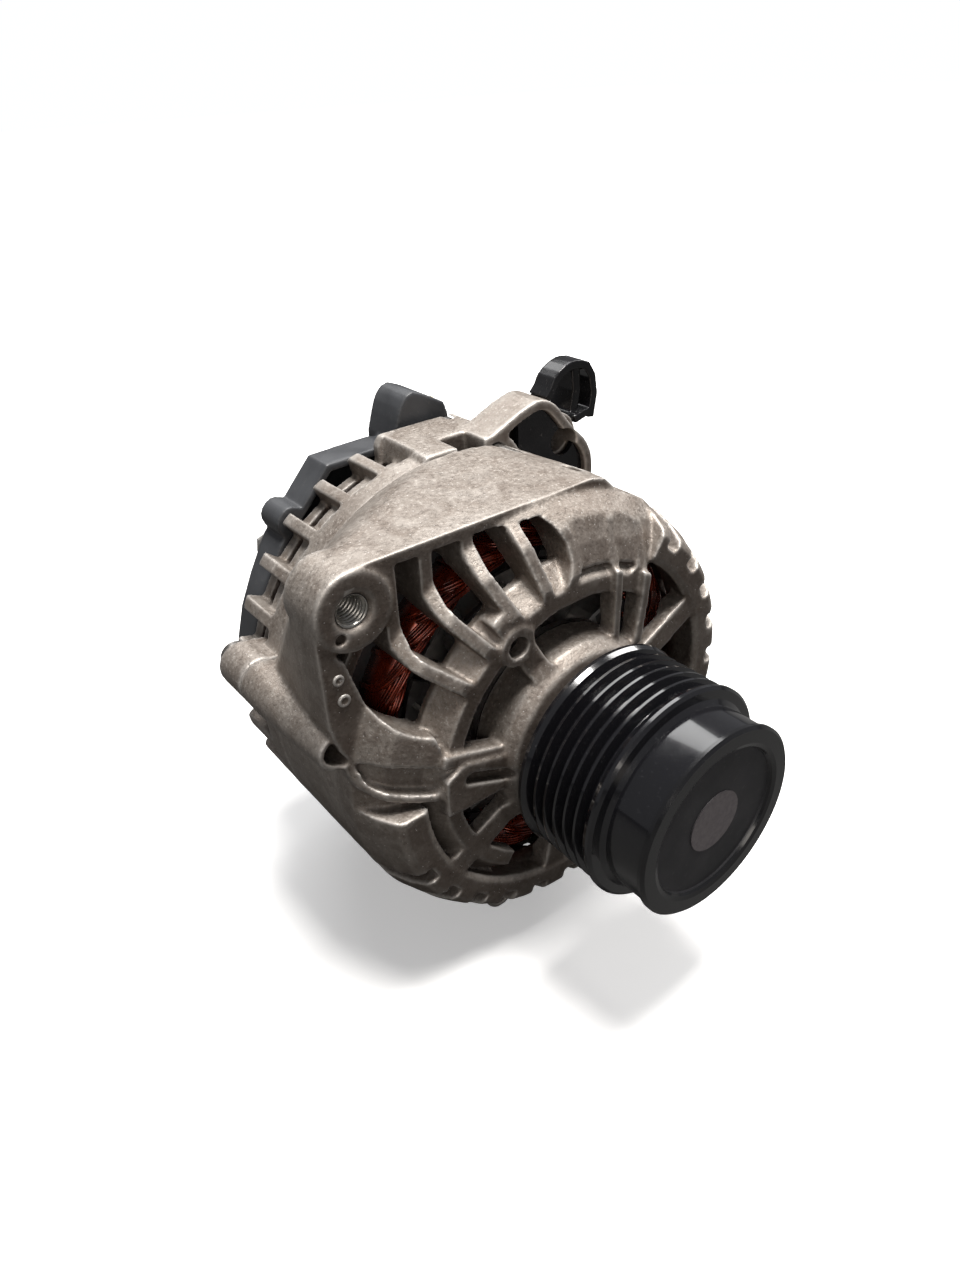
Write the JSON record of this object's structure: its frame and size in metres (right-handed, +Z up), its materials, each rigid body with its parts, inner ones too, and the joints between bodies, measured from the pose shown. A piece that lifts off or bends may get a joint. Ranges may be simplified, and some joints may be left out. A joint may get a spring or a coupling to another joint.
{
  "type": "car alternator",
  "caption": "Automotive alternator: ribbed cast-aluminium housing with mounting ear and lug, freewheel belt pulley, claw-pole rotor, wound stator and plastic rear cover.",
  "frame": {"origin": "on the shaft axis, in the plane of the drive-end casting's front face", "axes": "the shaft runs along Y with the pulley at -Y and the plastic rear cover at +Y; +Z is up, towards the flat platform of the mounting ear; +X is to the right seen from the pulley"},
  "size_m": [0.1458, 0.156, 0.1511],
  "materials": {
    "cast_aluminium": "sand-cast, matt, lightly speckled",
    "lamination_steel": "laminated electrical steel, varnished",
    "red_enamel": "glossy dark red wire enamel",
    "bolt_steel": "plain steel, slightly dulled",
    "zinc_steel": "zinc plated",
    "bearing_steel": "ground bearing steel",
    "cage_plastic": "moulded polyamide",
    "seal_rubber": "matt rubber",
    "plate_steel": "pressed sheet steel",
    "pole_iron": "forged iron, turned outside",
    "bobbin_plastic": "moulded nylon",
    "slip_copper": "turned copper",
    "black_coat": "glossy black electro-coat",
    "cap_plastic": "dark grey moulded plastic",
    "grey_plastic": "satin grey moulded plastic",
    "sink_aluminium": "pressed aluminium plate",
    "black_plastic": "black moulded plastic",
    "diode_metal": "nickel plated",
    "carbon": "pressed copper-graphite",
    "spring_steel": "spring wire",
    "tin_pin": "tinned",
    "terminal_brass": "plated copper alloy",
    "clip_plastic": "black nylon"
  },
  "bodies": {
    "housing": {"front_bracket": "cast_aluminium", "rear_bracket": "cast_aluminium", "stator_core": "lamination_steel", "stator_windings": "red_enamel", "through_bolts": "bolt_steel", "front_bearing_outer_race": "bearing_steel", "front_bearing_seal": "seal_rubber", "bearing_retainer": "plate_steel", "retainer_screws": "bolt_steel", "rear_bearing_outer_race": "bearing_steel", "rear_bearing_sleeve": "seal_rubber", "rear_cover": "grey_plastic", "cover_nuts": "zinc_steel", "cover_studs": "zinc_steel", "positive_heat_sink": "sink_aluminium", "negative_heat_sink": "sink_aluminium", "rectifier_insulator": "black_plastic", "positive_diodes": "diode_metal", "negative_diodes": "diode_metal", "voltage_regulator": "black_plastic", "brush_holder": "black_plastic", "brush_spring_inner": "spring_steel", "brush_spring_outer": "spring_steel", "connector_socket": "black_plastic", "connector_pins": "tin_pin", "terminal_stud": "terminal_brass", "terminal_nut": "zinc_steel", "terminal_insulator": "black_plastic", "harness_clip": "clip_plastic", "arm_insert": "clip_plastic"},
    "rotor": {"rotor_shaft": "bearing_steel", "shaft_spacer": "bearing_steel", "front_bearing_inner_race": "bearing_steel", "rear_bearing_inner_race": "bearing_steel", "front_claw_pole": "pole_iron", "rear_claw_pole": "pole_iron", "field_coil": "red_enamel", "coil_bobbin": "bobbin_plastic", "front_fan": "plate_steel", "rear_fan": "plate_steel", "slip_ring_inner": "slip_copper", "slip_ring_outer": "slip_copper", "slip_ring_insulator": "black_plastic", "pulley_hub": "bearing_steel", "clutch_cage": "cage_plastic", "clutch_rollers": "bearing_steel", "pulley_seal": "seal_rubber"},
    "pulley": {"pulley_rim": "black_coat", "pulley_cap": "cap_plastic"},
    "front_cage": {"front_bearing_balls": "bearing_steel", "front_bearing_cage": "cage_plastic"},
    "rear_cage": {"rear_bearing_balls": "bearing_steel", "rear_bearing_cage": "cage_plastic"},
    "brush_inner": {"brush_inner": "carbon"},
    "brush_outer": {"brush_outer": "carbon"}
  },
  "joints": [
    {"name": "rotor_spin", "type": "hinge", "parent": "housing", "child": "rotor", "pos_m": [0, 0, 0], "axis": [0, 1, 0], "continuous": true},
    {"name": "pulley_overrun", "type": "hinge", "parent": "rotor", "child": "pulley", "pos_m": [0, -0.03, 0], "axis": [0, 1, 0], "continuous": true},
    {"name": "front_cage_spin", "type": "hinge", "parent": "housing", "child": "front_cage", "pos_m": [0, 0.003, 0], "axis": [0, 1, 0], "continuous": true},
    {"name": "rear_cage_spin", "type": "hinge", "parent": "housing", "child": "rear_cage", "pos_m": [0, 0.0765, 0], "axis": [0, 1, 0], "continuous": true},
    {"name": "brush_inner_lift", "type": "slide", "parent": "housing", "child": "brush_inner", "axis": [0, 0, -1], "range_m": [0, 0.003], "deforming": ["brush_spring_inner"]},
    {"name": "brush_outer_lift", "type": "slide", "parent": "housing", "child": "brush_outer", "axis": [0, 0, -1], "range_m": [0, 0.003], "deforming": ["brush_spring_outer"]}
  ],
  "couplings": [
    {"joint": "front_cage_spin", "follows": "rotor_spin", "ratio": 0.3656},
    {"joint": "rear_cage_spin", "follows": "rotor_spin", "ratio": 0.38}
  ]
}
